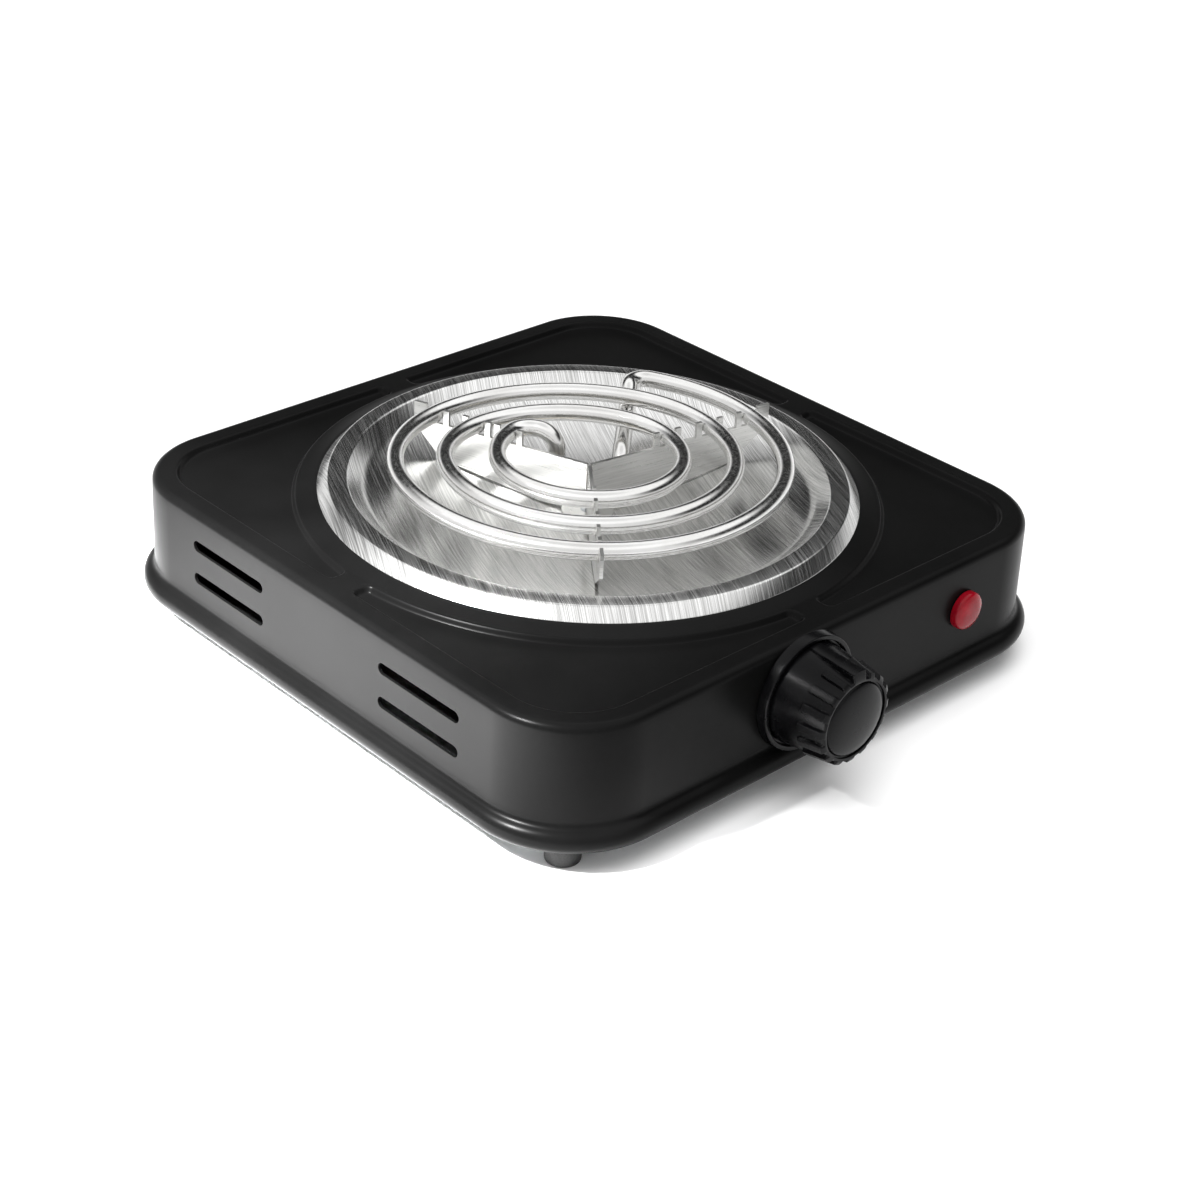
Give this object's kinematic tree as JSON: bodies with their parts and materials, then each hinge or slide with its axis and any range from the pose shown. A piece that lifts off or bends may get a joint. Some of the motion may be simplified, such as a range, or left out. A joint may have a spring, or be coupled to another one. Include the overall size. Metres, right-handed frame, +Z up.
{
  "type": "hot plate burner",
  "caption": "Square countertop hot plate with a coiled tubular element over a round stainless drip pan, a front control knob and a red pilot lamp",
  "frame": {"origin": "on the plane the rubber feet stand on, midway between the front of the knob and the rear of the inlet grommet, and midway between the left and right sides", "axes": "+Z is up; the front with the knob and the lamp faces -Y; +X is to the right seen from the front"},
  "size_m": [0.2392, 0.261, 0.0665],
  "materials": {
    "black_enamel": "satin black stove enamel",
    "black_phenolic": "glossy moulded black phenolic",
    "brushed_stainless": "brushed stainless pressing",
    "coil_sheath": "bright drawn nickel alloy tube",
    "spring_steel": "plain cold-rolled steel",
    "zinc_plate": "zinc-plated steel",
    "galvanised": "galvanised sheet",
    "black_rubber": "matte black rubber",
    "white_ceramic": "unglazed steatite",
    "red_lens": "clear red moulded plastic",
    "neon_glass": "clear glass",
    "brass": "plain brass",
    "white_nylon": "natural nylon",
    "red_silicone": "red silicone sleeving",
    "white_silicone": "white silicone sleeving",
    "green_silicone": "green silicone sleeving"
  },
  "bodies": {
    "base": {"base_plate": "galvanised", "base_screws": "zinc_plate", "bimetal_strip": "spring_steel", "bolt_washer": "zinc_plate", "centre_bolt": "zinc_plate", "clamp_screws": "zinc_plate", "coil_bushings": "white_ceramic", "coil_inner_turn": "coil_sheath", "coil_middle_turn": "coil_sheath", "coil_outer_turn": "coil_sheath", "coil_pins": "brass", "contact_arm": "brass", "cord_clamp": "white_nylon", "cord_clamp_post": "white_nylon", "drip_pan": "brushed_stainless", "earth_lead": "green_silicone", "earth_stud": "zinc_plate", "foot_front_left": "black_rubber", "foot_front_right": "black_rubber", "foot_nuts": "zinc_plate", "foot_rear_left": "black_rubber", "foot_rear_right": "black_rubber", "foot_screws": "zinc_plate", "housing": "black_enamel", "inlet_grommet": "black_rubber", "knob_bezel": "black_phenolic", "lamp_body": "white_nylon", "lamp_clip": "spring_steel", "lamp_lens": "red_lens", "lamp_neon": "neon_glass", "live_lead": "red_silicone", "neutral_lead": "white_silicone", "pan_nut": "zinc_plate", "support_blade_front": "spring_steel", "support_blade_left": "spring_steel", "support_blade_right": "spring_steel", "support_hub_plate": "spring_steel", "switched_lead": "red_silicone", "terminal_block": "white_nylon", "terminal_screws": "brass", "thermostat_base": "white_ceramic", "thermostat_bush": "brass", "thermostat_frame": "zinc_plate", "thermostat_nut": "zinc_plate", "thermostat_spades": "brass"},
    "dial": {"knob": "black_phenolic", "thermostat_shaft": "brass"}
  },
  "joints": [
    {"name": "dial_turn", "type": "hinge", "parent": "base", "child": "dial", "pos_m": [-0.0155, -0.10799, 0.0332], "axis": [0, 1, 0], "range_deg": [0, 270]}
  ]
}
